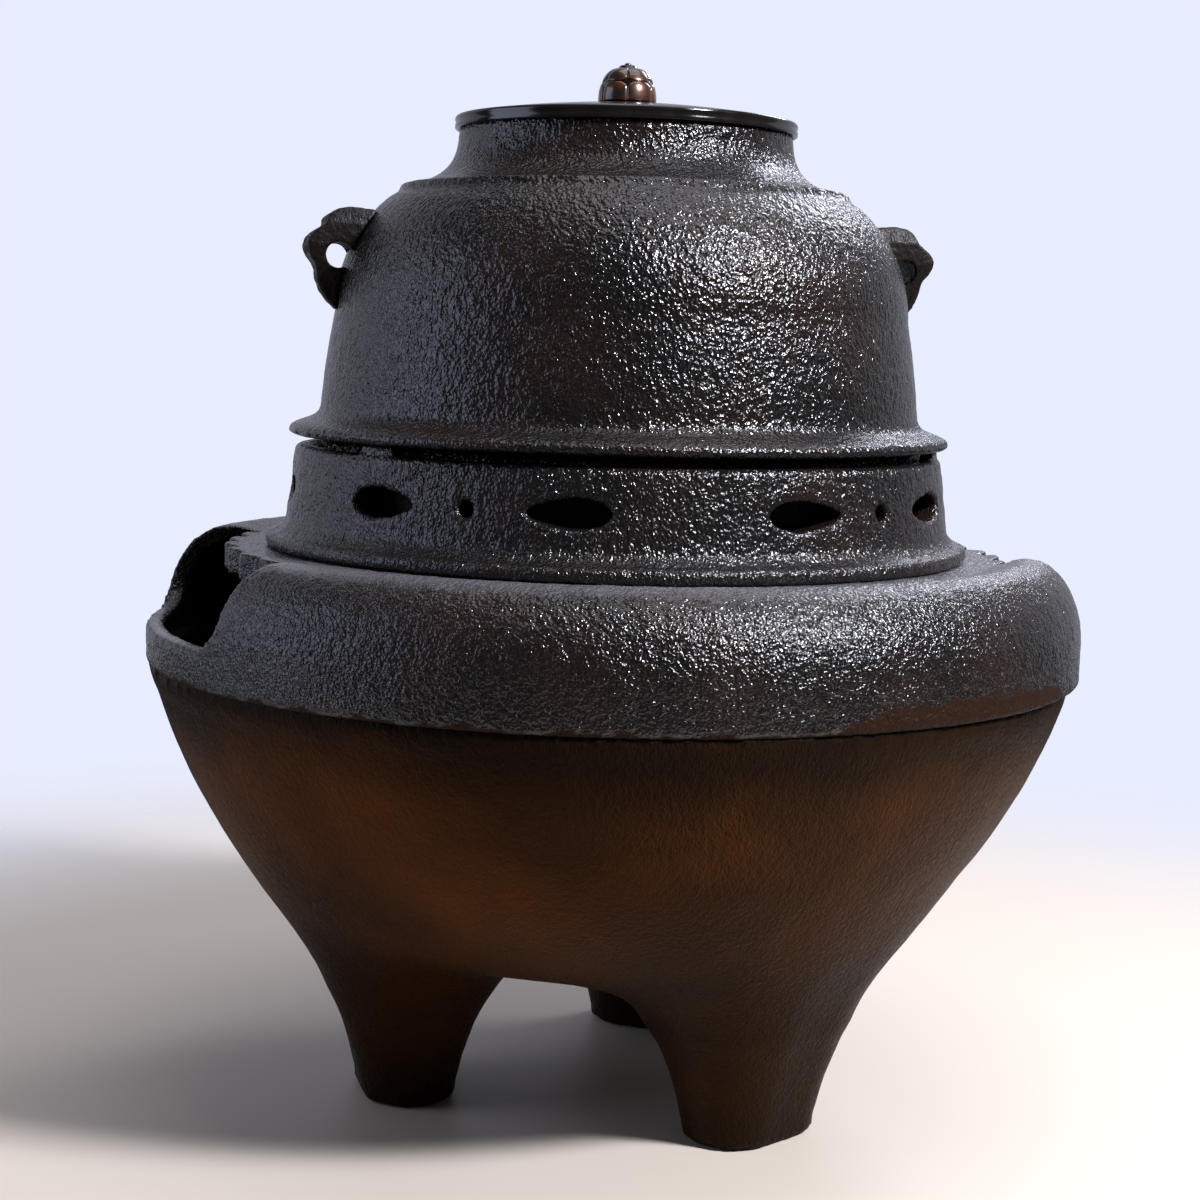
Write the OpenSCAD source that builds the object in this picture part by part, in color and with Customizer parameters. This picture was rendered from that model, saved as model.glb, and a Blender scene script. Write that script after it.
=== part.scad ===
// Tea kettle on its tripod iron brazier, with a knobbed lid. Millimetres, +Z up.
// The origin is on the table under the common axis. The front fire window looks along
// -Y, with the front leg below it. An azimuth is counted from -Y towards +X.

/* [Brazier legs] */
// Radius of the ring that the three feet stand on
foot_ring_r = 69; // [64:0.5:74]
// Azimuth of the front leg
leg_azimuth = -3.5; // [-6:0.5:0]
// Radius of an oval foot's round ends
foot_r = 15.5; // [13:0.5:18]
// Width of an oval foot along the ring
foot_w = 47; // [40:1:54]
// Radius of a leg's round ends at its flared root
leg_root_r = 41; // [36:1:44]
// Height of the flared root above the table
leg_root_h = 62; // [60:1:68]

/* [Brazier bowl] */
// Height of the flat underside above the table
under_h = 57; // [50:1:60]
// Height of the bowl from its underside to the seam
bowl_h = 90; // [84:1:100]
// Outer radius of the bowl at the seam
seam_r = 154.2; // [150:0.2:160]
// Radius of the flat underside
bowl_floor_r = 78; // [72:1:84]
// Thickness of the bowl's wall and floor
bowl_wall = 6; // [5:0.5:8]
// Thickness of the lip that stands inside the shoulder
lip_t = 3.5; // [3:0.1:4.5]
// Height of the lip
lip_h = 5; // [4:0.5:8]
// Radial clearance of every lapped joint
lap_gap = 0.2; // [0.1:0.05:0.4]

/* [Brazier shoulder] */
// Overhang of the shoulder past the seam
girth_overhang = 1.2; // [1:0.1:2.6]
// Height of the straight band above the seam
girth_h = 13; // [10:1:18]
// Height of the rounded shoulder above the band
crest_h = 27; // [22:1:32]
// Width of the rounded shoulder
crest_w = 19.4; // [17:0.2:24]
// Drop from the crest to the top plate
plate_drop = 2.5; // [1.5:0.1:3.5]
// Width of the slope from the crest to the top plate
plate_slope_w = 10; // [6:1:12]
// Thickness of the shoulder and of its top plate
shoulder_wall = 6; // [5:0.2:7]

/* [Fire windows] */
// Width of a window
window_w = 122; // [110:1:126]
// Height of the window's sill above the seam
sill_h = 12.5; // [10:0.5:14]
// Radius of the window's lower corners
sill_corner_r = 12; // [9:1:16]
// Width of the top plate from its mouth to its edge over a window
window_plate_w = 22.6; // [20:0.2:24]
// Number of flutes along that edge
flute_n = 7; // [6:1:8]
// Radius of one flute
flute_r = 8.4; // [6.6:0.2:9]
// Bulge of a flute past the plate's edge
flute_bulge = 3; // [2:0.1:4]
// Hang of the fluted edge below the plate
flute_hang = 2.5; // [1.5:0.1:3.5]
// Width of the thick rim that carries the flutes
flute_rim_w = 6; // [4:0.5:8]

/* [Collar] */
// Outer radius of the collar at its top
collar_top_r = 107.5; // [105:0.5:109]
// Spread of the collar's foot past its top
collar_spread = 3; // [2:0.2:4]
// Height of the collar above the top plate
collar_h = 33.5; // [30:0.5:38]
// Thickness of the collar's wall
collar_wall = 6; // [5:0.2:7]
// Spread of the ledge past the collar's foot
ledge_spread = 6.5; // [5:0.5:7.5]
// Height of the ledge
ledge_h = 5; // [4.4:0.2:7]
// Thickness of the spigot that stands in the plate's mouth
spigot_t = 3; // [2.4:0.1:3.6]

/* [Vents] */
// Number of vent groups round the collar
vent_n = 5; // [4:1:5]
// Azimuth of the first group's middle hole
vent_azimuth = 48.5; // [44:0.5:52]
// Angle from the middle hole to a leaf-shaped vent
vent_step = 16.5; // [15:0.5:18]
// Length of a leaf-shaped vent
leaf_l = 27; // [22:1:29]
// Height of a leaf-shaped vent
leaf_h = 8.8; // [7:0.2:10]
// Radius of the middle hole
vent_hole_r = 2.6; // [2:0.1:3.2]
// Height of the vents above the top plate
vent_h = 19.5; // [17:0.5:22]

/* [Rim seats] */
// Height of a seat, which is the gap under the flange
seat_h = 3; // [2:0.5:5]
// Length of a seat along the rim
seat_l = 14; // [10:1:18]
// Width of a seat across the rim
seat_w = 4.4; // [3.5:0.1:4.6]
// Azimuth of the first seat
seat_azimuth = 29; // [20:1:40]

/* [Kettle] */
// Overhang of the flange past the collar's top
flange_overhang = 2.5; // [1.5:0.5:4]
// Thickness of the flange at its edge
flange_edge_t = 3.5; // [3:0.1:4.5]
// Rise of the flange from its underside to its root
flange_rise = 7.5; // [6:0.5:9]
// Gap from the kettle's pan to the collar's inside
pan_gap = 3.5; // [2.5:0.5:5]
// Width from the pan's outside to the wall's foot
wall_step = 1.4; // [0.5:0.1:2]
// Height of the wall above the flange's underside
wall_h = 41; // [36:1:46]
// Inward taper of the wall over its height
wall_taper = 4.4; // [3:0.2:6]
// Width of the rounded shoulder
dome_w = 45; // [42:1:48]
// Height of the rounded shoulder's full ellipse
dome_h = 47; // [44:1:50]
// Angle at which the shoulder meets the neck
dome_end = 57.5; // [56:0.5:59]
// Depth of the line round the foot of the neck
neck_step = 0.9; // [0.6:0.1:1.4]
// Width from the neck's foot to the neck
neck_flare = 19; // [17:0.5:21]
// Height of the neck above its foot
neck_h = 21; // [19:0.5:24]
// Thickness of the kettle's wall
kettle_wall = 4.8; // [4:0.1:5.4]

/* [Kettle pan] */
// Depth of the pan below the flange's underside
pan_depth = 71; // [64:1:76]
// Depth of the lapped seam below the flange's underside
pan_seam_depth = 9; // [8:0.5:12]
// Radius of the pan's flat bottom
pan_flat_r = 45; // [40:1:50]
// Thickness of the pan
pan_wall = 5; // [4:0.2:6]
// Thickness of the pan's lip
pan_lip_t = 2.8; // [2.4:0.1:3]

/* [Singing plates] */
// Number of small plates on the pan's floor
plate_n = 5; // [3:1:7]
// Length of a plate
plate_l = 14; // [10:1:16]
// Width of a plate
plate_w = 8; // [6:0.5:10]
// Thickness of a plate
plate_t = 1.6; // [1:0.1:2.4]
// Radius of the ring of plates
plate_ring_r = 24; // [20:1:28]

/* [Lugs] */
// Azimuth of the front lug
lug_azimuth = -5.5; // [-12:0.5:0]
// Height of the eye's centre above the dome's widest line
eye_h = 17.2; // [15:0.2:20]
// Distance of the eye's centre from the dome
eye_out = 3.1; // [2.8:0.1:3.6]
// Radius of the eye
eye_r = 4.2; // [3.6:0.1:4.4]
// Width of the lug across the brow
brow_w = 24; // [20:1:28]
// Width of the lug across the chin
chin_w = 11; // [9:0.5:13]

/* [Lid] */
// Overhang of the lid past the neck
lid_overhang = 1.4; // [1.2:0.1:2]
// Thickness of the lid's turned-down rim
lid_rim_t = 1; // [0.8:0.1:1]
// Hang of the rim below the kettle's lip
lid_rim_hang = 1.7; // [1:0.1:2.4]
// Thickness of the lid
lid_t = 2.4; // [2:0.1:3]
// Height of the rim's edge above the kettle's lip
lid_edge_h = 2.5; // [2:0.1:3.2]
// Rise of the dome from the rim's edge to its middle
lid_rise = 4.6; // [3.5:0.1:7]
// Radius of the flat middle
lid_flat_r = 11; // [10:0.5:13]

/* [Knob] */
// Radius of the knob at its waist
knob_r = 9.9; // [9:0.1:11]
// Radius of the knob's foot
knob_foot_r = 8.8; // [7.6:0.1:9]
// Height of the knob
knob_h = 13.1; // [11:0.1:15]
// Height of the knob's waist between its two tiers of petals
knob_waist_h = 6.2; // [5:0.2:7]
// Number of petals in a tier
petal_n = 6; // [6:1:10]
// Radius of the nub on top of the knob
nub_r = 2.3; // [1.8:0.1:3]
// Height of the nub
nub_h = 1.5; // [1:0.1:2]
// Radius of the knob's seat
knob_seat_r = 6.4; // [5.5:0.1:7.5]
// Thickness of the knob's seat
knob_seat_t = 1.2; // [0.8:0.1:1.6]
// Radius of the rivet's shank
rivet_r = 2; // [1.5:0.1:2.4]
// Clearance round the shank
rivet_gap = 0.2; // [0.1:0.05:0.3]
// Depth of the shank in the knob
rivet_depth = 5; // [4:0.2:6]
// Radius of the washer under the lid
washer_r = 5; // [4:0.2:6]
// Thickness of the washer under the lid
washer_t = 1.2; // [0.8:0.1:1.6]
// Radius of the rivet's head
rivet_head_r = 3.4; // [3:0.1:4]
// Thickness of the rivet's head
rivet_head_t = 1.4; // [1:0.1:2]

/* [Hidden] */
$fn = 96;
// Heights along the common axis
z_seam = under_h + bowl_h;
z_girth = z_seam + girth_h;
z_crest = z_girth + crest_h;
z_plate = z_crest - plate_drop;
z_collar = z_plate + collar_h;
z_flange = z_collar + seat_h;
z_dome = z_flange + wall_h;
z_pan_seam = z_flange - pan_seam_depth;
z_pan = z_flange - pan_depth;
// Radii of pieces that fit in one another
girth_r = seam_r + girth_overhang;
lip_r = girth_r - shoulder_wall - lap_gap;
collar_foot_r = collar_top_r + collar_spread;
collar_in_r = collar_top_r - collar_wall;
spigot_r = collar_in_r + spigot_t;
mouth_r = spigot_r + lap_gap;
crest_r = girth_r - crest_w;
window_edge_r = mouth_r + window_plate_w;
flange_r = collar_top_r + flange_overhang;
pan_r = collar_in_r - pan_gap;
wall_foot_r = pan_r + wall_step;
dome_r = wall_foot_r - wall_taper;
dome_c = [dome_r - dome_w, z_dome];
pan_lip_r = pan_r - pan_lip_t;
// Neck, lip and mouth of the kettle
neck_foot = dome_c + [dome_w * cos(dome_end), dome_h * sin(dome_end)];
neck_r = neck_foot[0] - neck_flare;
z_lip = neck_foot[1] + neck_h + neck_step;
mouth_in_r = neck_r - kettle_wall;
// Lid and knob
lid_r = neck_r + lid_overhang;
z_lid_edge = z_lip + lid_edge_h;
z_lid_top = z_lid_edge + lid_rise;
z_knob = z_lid_top + knob_seat_t;
rivet_bore_r = rivet_r + rivet_gap;
// Eye of the lug
eye_c = [dome_c[0] + dome_w * sqrt(1 - pow(eye_h / dome_h, 2)) + eye_out, z_dome + eye_h];
// Pull points of a leg's flare, counted from the foot and from the root
leg_lower_pull = [3, 24];
leg_upper_pull = [-13, -19];
// Pull points of the pan's curve, counted from its seam and from its flat bottom
pan_upper_pull = [0, -32];
pan_lower_pull = [38, 0];
// Pull points of the mouth's inner curve, counted from the mouth and from the dome
mouth_upper_pull = [0, -10];
mouth_lower_pull = [-9, 2.4];
// Depth of the straight part of the mouth
mouth_h = 7;
// Pull points of the bowl's curve, counted from the seam and from the edge of the underside
bowl_upper_pull = [-7, -0.32 * bowl_h];
bowl_lower_pull = [46, 3];
// Pull points of the neck's curve, counted from its foot and from its straight top
neck_lower_pull = [-14, 3.2];
neck_upper_pull = [0.2, -10.5];
// Height of the neck's straight top
neck_top_h = 3;
// How late the kettle's wall turns inwards
wall_bend = 1.4;
// Pull points of the lid's dome, counted from its edge and from its flat middle
lid_edge_pull = [-18.6, 2.8];
lid_middle_pull = [8, 0];
// Width and rise of the lid's flat edge
lid_edge_w = 4;
lid_edge_rise = 0.4;
// Gap from the lid's hollow to the kettle's mouth
lid_hollow_gap = 1;
// Pull points of the bud's two tiers, counted from their own ends
bud_foot_pull = [1, 1];
bud_waist_pull = [0.1, -2.4];
bud_shoulder_pull = [-0.2, 2.8];
bud_crown_pull = [2.8, 0];
// Roundings of the collar's rim, the kettle's lip and its flange, and the fillet over the flange
rim_round = 1.2;
lip_round = 0.6;
flange_round = 1;
root_fillet = 2.5;
// Gap over the pan's lip
pan_head_gap = 1;
// Where a leaf-shaped vent is widest, and how full its sides are
leaf_lean = 0.75;
leaf_fullness = 0.7;
// How far a cutter runs past what it cuts
over = 1;

function bezier(a, b, c, d, n) = [for (i = [0:n]) let (t = i / n)
    pow(1 - t, 3) * a + 3 * pow(1 - t, 2) * t * b + 3 * (1 - t) * t * t * c + pow(t, 3) * d];
function arc(c, rx, rz, from, to, n) = [for (i = [0:n]) let (a = from + (to - from) * i / n)
    c + [rx * cos(a), rz * sin(a)]];
function shift(points, by) = [for (p = points) p + by];

// Outside of the bowl, from the seam down to the flat underside
function bowl_outer() = bezier([seam_r, z_seam], [seam_r, z_seam] + bowl_upper_pull,
    [bowl_floor_r, under_h] + bowl_lower_pull, [bowl_floor_r, under_h], 14);
// Inside of the bowl, from the floor up to the lip
function bowl_inner() = let (floor_edge = [bowl_floor_r, under_h + bowl_wall])
    bezier(floor_edge, floor_edge + bowl_lower_pull - [bowl_wall / 2, 0],
    [seam_r - bowl_wall, z_seam] + bowl_upper_pull, [lip_r - lip_t, z_seam], 12);

module furo_bowl() {
    color("#4a3326") rotate_extrude() polygon(concat(
        [[lip_r - lip_t, z_seam + lip_h], [lip_r, z_seam + lip_h], [lip_r, z_seam]],
        bowl_outer(), [[0, under_h], [0, under_h + bowl_wall]], bowl_inner()));
}

// The bowl without its hollow
module bowl_fill() {
    rotate_extrude() polygon(concat(bowl_outer(), [[0, under_h], [0, z_seam]]));
}

// An oval leg, flared where it runs into the bowl: a straight middle between two half-turned ends
module leg(azimuth) {
    foot_toe = 4;
    end_x = foot_w / 2 - foot_r;
    flare = concat([[foot_r, -foot_toe]], bezier([foot_r, 0], [foot_r, 0] + leg_lower_pull,
        [leg_root_r, leg_root_h] + leg_upper_pull, [leg_root_r, leg_root_h], 8));
    color("#3d2c22") difference() {
        rotate([0, 0, azimuth]) translate([0, -foot_ring_r, 0]) {
            for (turn = [0, 180])
                rotate([0, 0, turn]) translate([end_x, 0, 0]) rotate([0, 0, -90]) rotate_extrude(angle = 180)
                    polygon(concat([[0, -foot_toe]], flare, [[0, leg_root_h]]));
            rotate([90, 0, 90]) linear_extrude(2 * end_x, center = true)
                polygon(concat(flare, [for (i = [len(flare) - 1:-1:0]) [-flare[i][0], flare[i][1]]]));
        }
        bowl_fill();
        translate([0, 0, -2 * foot_toe]) cylinder(h = 2 * foot_toe, r = 2 * foot_ring_r);
    }
}

module leg_front() {
    leg(leg_azimuth);
}

module leg_rear_right() {
    leg(leg_azimuth + 120);
}

module leg_rear_left() {
    leg(leg_azimuth - 120);
}

// Plan of the plate's edge over a window, a circle with a row of convex flutes
module fluted_edge(h) {
    pitch = 2 * asin(window_w / 2 / window_edge_r) / flute_n;
    cylinder(h = h, r = window_edge_r);
    for (i = [0:flute_n - 1])
        rotate([0, 0, (i - (flute_n - 1) / 2) * pitch])
            translate([0, flute_r - flute_bulge - window_edge_r, 0]) cylinder(h = h, r = flute_r, $fn = 32);
}

// What a fire window takes out of the shoulder, along -Y
module window_cut() {
    z_sill = z_seam + sill_h;
    half_w = window_w / 2;
    c = sill_corner_r;
    outline = concat([[half_w, z_crest + over], [-half_w, z_crest + over]],
        arc([c - half_w, z_sill + c], c, c, 180, 270, 8),
        arc([half_w - c, z_sill + c], c, c, 270, 360, 8));
    difference() {
        translate([0, -mouth_r, 0]) rotate([90, 0, 0]) linear_extrude(girth_r) polygon(outline);
        translate([0, 0, z_plate - shoulder_wall]) fluted_edge(2 * shoulder_wall);
        translate([0, 0, z_seam]) cylinder(h = crest_h + girth_h, r = window_edge_r - flute_rim_w);
    }
}

// Thick fluted rim that hangs under the plate's edge over a window
module window_rim() {
    z_hang = z_plate - shoulder_wall - flute_hang;
    intersection() {
        difference() {
            translate([0, 0, z_hang]) fluted_edge(shoulder_wall / 2 + flute_hang);
            translate([0, 0, z_hang - over]) cylinder(h = 2 * shoulder_wall + flute_hang,
                r = window_edge_r - flute_rim_w);
        }
        translate([-window_w / 2, -girth_r, z_hang]) cube([window_w, girth_r, crest_h]);
    }
}

module furo_shoulder() {
    inner_w = crest_w - shoulder_wall;
    inner_h = crest_h - shoulder_wall;
    plate_r = crest_r - plate_slope_w;
    color("#2b2523") {
        difference() {
            rotate_extrude() polygon(concat([[girth_r, z_seam]],
                arc([crest_r, z_girth], crest_w, crest_h, 0, 90, 10),
                [[plate_r, z_plate], [mouth_r, z_plate], [mouth_r, z_plate - shoulder_wall],
                [plate_r, z_plate - shoulder_wall]],
                arc([crest_r, z_girth], inner_w, inner_h, 90, 0, 8),
                [[girth_r - shoulder_wall, z_seam]]));
            for (turn = [0, 180]) rotate([0, 0, turn]) window_cut();
        }
        for (turn = [0, 180]) rotate([0, 0, turn]) window_rim();
    }
}

// Outline of a leaf-shaped vent, pointed at +X
function leaf(l, h) = let (side = [for (i = [0:10]) let (t = i / 10)
    [l * (t - 0.5), h / 2 * pow(max(0, sin(180 * pow(t, leaf_lean))), leaf_fullness)]])
    concat(side, [for (i = [9:-1:1]) [side[i][0], -side[i][1]]]);

module furo_collar() {
    z_ledge = z_plate + ledge_h;
    ledge_r = collar_foot_r + ledge_spread;
    bead_r = 2;
    cove = 3.2;
    color("#2e2725") difference() {
        rotate_extrude() polygon(concat(
            [[collar_in_r, z_plate - shoulder_wall], [spigot_r, z_plate - shoulder_wall],
            [spigot_r, z_plate], [ledge_r - bead_r, z_plate]],
            arc([ledge_r - bead_r, z_plate + bead_r], bead_r, bead_r, 270, 360, 3),
            arc([ledge_r - bead_r, z_ledge - bead_r], bead_r, bead_r, 0, 90, 3),
            [[collar_foot_r + cove, z_ledge], [collar_foot_r, z_ledge + cove],
            [collar_top_r, z_collar - rim_round], [collar_top_r - rim_round, z_collar],
            [collar_in_r, z_collar]]));
        for (i = [0:vent_n - 1])
            rotate([0, 0, vent_azimuth + i * 360 / vent_n]) translate([0, 0, z_plate + vent_h]) {
                rotate([90, 0, 0]) cylinder(h = ledge_r, r = vent_hole_r);
                for (side = [-1, 1])
                    rotate([0, 0, side * vent_step]) rotate([90, 0, 0])
                        linear_extrude(ledge_r) mirror([side > 0 ? 1 : 0, 0])
                            polygon(leaf(leaf_l, leaf_h));
            }
    }
}

module rim_seats() {
    mid_r = (collar_in_r + collar_top_r - rim_round) / 2;
    color("#2e2725") for (i = [0:2])
        rotate([0, 0, seat_azimuth + 120 * i])
            translate([-seat_l / 2, -mid_r - seat_w / 2, z_collar]) cube([seat_l, seat_w, seat_h]);
}

// Outside of the kettle's dome and neck, from the wall's top to the lip
function kettle_upper() = concat(arc(dome_c, dome_w, dome_h, 0, dome_end, 10),
    bezier(neck_foot + [-neck_step / 4, neck_step], neck_foot + neck_lower_pull,
        [neck_r, z_lip - neck_top_h] + neck_upper_pull, [neck_r, z_lip - neck_top_h], 8));
// Outside of the flange and the wall
function kettle_lower() = concat(
    [[flange_r - flange_round, z_flange], [flange_r, z_flange + flange_edge_t / 2],
    [flange_r - flange_round, z_flange + flange_edge_t]],
    arc([wall_foot_r + root_fillet, z_flange + flange_rise + root_fillet / 2], root_fillet, root_fillet,
        255, 180, 3),
    [for (t = [0.35, 0.7]) [wall_foot_r - wall_taper * pow(t, wall_bend),
        z_flange + flange_rise + (wall_h - flange_rise) * t]]);
// Inside of the kettle, from the mouth down to the wall
function kettle_inner() = let (
    mouth = [mouth_in_r, z_lip - mouth_h],
    dome = arc(dome_c, dome_w - kettle_wall, dome_h - kettle_wall, dome_end, 0, 8))
    concat(bezier(mouth, mouth + mouth_upper_pull, dome[0] + mouth_lower_pull, dome[0], 6),
    [for (i = [1:len(dome) - 1]) dome[i]]);

module kettle_body() {
    skirt_in_r = pan_lip_r + lap_gap;
    color("#2d2624") rotate_extrude() polygon(concat(
        [[skirt_in_r, z_pan_seam], [pan_r, z_pan_seam], [pan_r, z_flange]],
        kettle_lower(), kettle_upper(),
        [[neck_r - lip_round, z_lip], [mouth_in_r + lip_round, z_lip], [mouth_in_r, z_lip - lip_round]],
        kettle_inner(), [[wall_foot_r - kettle_wall, z_flange + flange_rise],
        [skirt_in_r, z_flange + pan_head_gap]]));
}

// Round pan that hangs in the fire, lapped into the body's skirt
module kettle_pan() {
    lip_top = z_flange - lap_gap;
    color("#2a2422") rotate_extrude() polygon(concat(
        [[pan_lip_r, lip_top], [pan_lip_r, z_pan_seam]],
        bezier([pan_r, z_pan_seam], [pan_r, z_pan_seam] + pan_upper_pull,
            [pan_flat_r, z_pan] + pan_lower_pull, [pan_flat_r, z_pan], 12),
        [[0, z_pan], [0, z_pan + pan_wall]],
        bezier([pan_flat_r, z_pan + pan_wall],
            [pan_flat_r - pan_wall / 2, z_pan + pan_wall] + pan_lower_pull,
            [pan_r - pan_wall, z_pan_seam] + pan_upper_pull,
            [pan_r - pan_wall, z_pan_seam - pan_wall / 2], 10),
        [[pan_r - pan_wall, lip_top]]));
}

module singing_plates() {
    color("#3a3431") for (i = [0:plate_n - 1])
        rotate([0, 0, i * 360 / plate_n])
            translate([-plate_l / 2, -plate_ring_r - plate_w / 2, z_pan + pan_wall])
                cube([plate_l, plate_w, plate_t]);
}

// The kettle without its hollow, as far as the lugs reach
module kettle_fill() {
    rotate_extrude() polygon(concat([[0, z_flange]], kettle_lower(), kettle_upper(), [[0, z_lip]]));
}

// Side of the lug from the brow over the snout to the chin, counted from the eye's centre
lug_side = [[-18, 14], [-3.6, 15.3], [0.2, 14.7], [2.8, 13.1], [4.5, 9.6], [7.9, 7.4], [9.5, 5.7],
    [10.2, 3.7], [10, 1.8], [8.9, -0.9], [7.4, -3], [6.6, -8.3], [5.4, -11.5], [3.3, -14.4],
    [0.5, -17.4], [-14, -17.4]];

// Half of the lug's front from the brow to the chin, counted from the eye's centre
lug_half = [[brow_w * 0.4, 16], [brow_w * 0.5, 10], [brow_w * 0.47, 3], [chin_w * 0.5, -9],
    [chin_w * 0.35, -18]];

// Carved lug with an eye through it for a lifting ring
module lug(azimuth) {
    color("#2b2523") difference() {
        rotate([0, 0, azimuth]) intersection() {
            rotate([0, 0, -90]) rotate([90, 0, 0]) linear_extrude(2 * brow_w, center = true)
                polygon(shift(lug_side, eye_c));
            translate([0, 0, eye_c[1]]) rotate([90, 0, 0]) linear_extrude(flange_r + brow_w)
                polygon(concat(lug_half, [for (i = [len(lug_half) - 1:-1:0])
                    [-lug_half[i][0], lug_half[i][1]]]));
        }
        kettle_fill();
        rotate([0, 0, azimuth]) translate([0, -eye_c[0], eye_c[1]]) rotate([0, 90, 0])
            cylinder(h = 2 * brow_w, r = eye_r, center = true);
    }
}

module lug_front() {
    lug(lug_azimuth);
}

module lug_rear() {
    lug(lug_azimuth + 180);
}

module lid_plate() {
    rim_in_r = lid_r - lid_rim_t;
    edge_round = 0.6;
    groove = 0.35;
    z_rim = z_lip - lid_rim_hang;
    z_mid = (z_rim + z_lid_edge) / 2;
    edge = [lid_r - lid_edge_w, z_lid_edge + lid_edge_rise];
    middle = [lid_flat_r, z_lid_top];
    under = [lid_flat_r, z_lid_top - lid_t];
    hollow = [mouth_in_r - lid_hollow_gap, z_lip];
    color("#1f1b1a") rotate_extrude() polygon(concat(
        [[rim_in_r, z_lip], [rim_in_r, z_rim], [lid_r, z_rim], [lid_r, z_mid - groove],
        [lid_r - groove, z_mid], [lid_r, z_mid + groove], [lid_r, z_lid_edge - edge_round],
        [lid_r - edge_round, z_lid_edge]],
        bezier(edge, edge + lid_edge_pull, middle + lid_middle_pull, middle, 8),
        [[rivet_bore_r, z_lid_top], [rivet_bore_r, z_lid_top - lid_t]],
        bezier(under, under + lid_middle_pull, hollow + lid_edge_pull, hollow, 8)));
}

module knob_seat() {
    color("#6d432c") translate([0, 0, z_lid_top]) difference() {
        cylinder(h = knob_seat_t, r = knob_seat_r);
        translate([0, 0, -over]) cylinder(h = knob_seat_t + 2 * over, r = rivet_bore_r);
    }
}

// Bud with a lower and an upper tier of petals, and a nub on top
module lid_knob() {
    notch = 1.8;
    tier_step = 0.6;
    waist = [knob_r, knob_waist_h];
    shoulder = [knob_r - tier_step, knob_waist_h + tier_step / 2];
    crown = [nub_r + tier_step, knob_h - nub_h];
    color("#7a4a2e") difference() {
        rotate_extrude() polygon(shift(concat([[0, 0]],
            bezier([knob_foot_r, 0], [knob_foot_r, 0] + bud_foot_pull, waist + bud_waist_pull, waist, 6),
            bezier(shoulder, shoulder + bud_shoulder_pull, crown + bud_crown_pull, crown, 5),
            [[nub_r, knob_h - nub_h / 2], [nub_r - tier_step, knob_h], [0, knob_h]]), [0, z_knob]));
        translate([0, 0, z_knob - over]) cylinder(h = rivet_depth + rivet_gap + over, r = rivet_bore_r);
        for (i = [0:petal_n - 1])
            rotate([0, 0, i * 360 / petal_n]) translate([0, -knob_r, z_knob + knob_waist_h])
                rotate([0, 45, 0]) cube([notch, 2 * notch, notch], center = true);
    }
}

module rivet_washer() {
    color("#6d432c") translate([0, 0, z_lid_top - lid_t - washer_t]) difference() {
        cylinder(h = washer_t, r = washer_r);
        translate([0, 0, -over]) cylinder(h = washer_t + 2 * over, r = rivet_bore_r);
    }
}

module knob_rivet() {
    z_head = z_lid_top - lid_t - washer_t - rivet_head_t;
    color("#6d432c") {
        translate([0, 0, z_head]) cylinder(h = rivet_head_t, r = rivet_head_r);
        translate([0, 0, z_head]) cylinder(h = z_knob + rivet_depth - z_head, r = rivet_r);
    }
}

furo_bowl();
leg_front();
leg_rear_right();
leg_rear_left();
furo_shoulder();
furo_collar();
rim_seats();
kettle_body();
kettle_pan();
singing_plates();
lug_front();
lug_rear();
lid_plate();
knob_seat();
lid_knob();
rivet_washer();
knob_rivet();
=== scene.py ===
"""Looks of a cast-iron tea kettle on its tripod brazier.

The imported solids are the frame. Each casting gets a pebbled skin grown over a copy of its
solids, the legs are run into the bowl, the lugs are carved, the lid is turned and the knob
gets its petals. Metres, +Z up.
"""

import math

import bmesh
import bpy
import numpy as np
from bpy.props import FloatProperty, FloatVectorProperty, IntProperty, PointerProperty
from mathutils import Matrix, Vector


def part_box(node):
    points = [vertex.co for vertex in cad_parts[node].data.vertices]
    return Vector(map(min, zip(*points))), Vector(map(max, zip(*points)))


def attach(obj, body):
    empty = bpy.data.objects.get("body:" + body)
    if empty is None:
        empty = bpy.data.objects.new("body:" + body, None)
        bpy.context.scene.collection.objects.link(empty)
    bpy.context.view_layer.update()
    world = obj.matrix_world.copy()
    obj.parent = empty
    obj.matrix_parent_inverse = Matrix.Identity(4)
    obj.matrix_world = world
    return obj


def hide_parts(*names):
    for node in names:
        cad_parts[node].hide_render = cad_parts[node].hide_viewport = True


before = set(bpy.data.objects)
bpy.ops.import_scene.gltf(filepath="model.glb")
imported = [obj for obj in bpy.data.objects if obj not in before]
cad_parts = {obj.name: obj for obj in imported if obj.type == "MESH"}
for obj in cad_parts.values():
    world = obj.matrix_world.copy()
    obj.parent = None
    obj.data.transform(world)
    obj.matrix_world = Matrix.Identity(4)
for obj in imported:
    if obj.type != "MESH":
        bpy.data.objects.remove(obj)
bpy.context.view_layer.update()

bl_info = {
    "name": "Tea kettle and brazier",
    "version": (1, 0, 0),
    "blender": (4, 5, 0),
    "location": "View3D > Sidebar > Kettle",
    "description": "Grows the cast skins, lid, knob and stage round the kettle's solids",
    "category": "Object",
}

MM = 0.001
FAR = 9.0  # metres: past everything here

# Heights, and low and high corners of boxes, read from the solids
FEET_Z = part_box("leg_front")[0].z
BOWL_LOW, BOWL_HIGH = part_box("furo_bowl")
SEAM_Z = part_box("furo_shoulder")[0].z
COLLAR_LOW, COLLAR_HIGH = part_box("furo_collar")
FLANGE_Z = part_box("rim_seats")[1].z
KETTLE_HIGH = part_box("kettle_body")[1]
LID_LOW, LID_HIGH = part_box("lid_plate")
KNOB_LOW, KNOB_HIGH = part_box("lid_knob")
LUG_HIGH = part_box("lug_front")[1]

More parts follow.
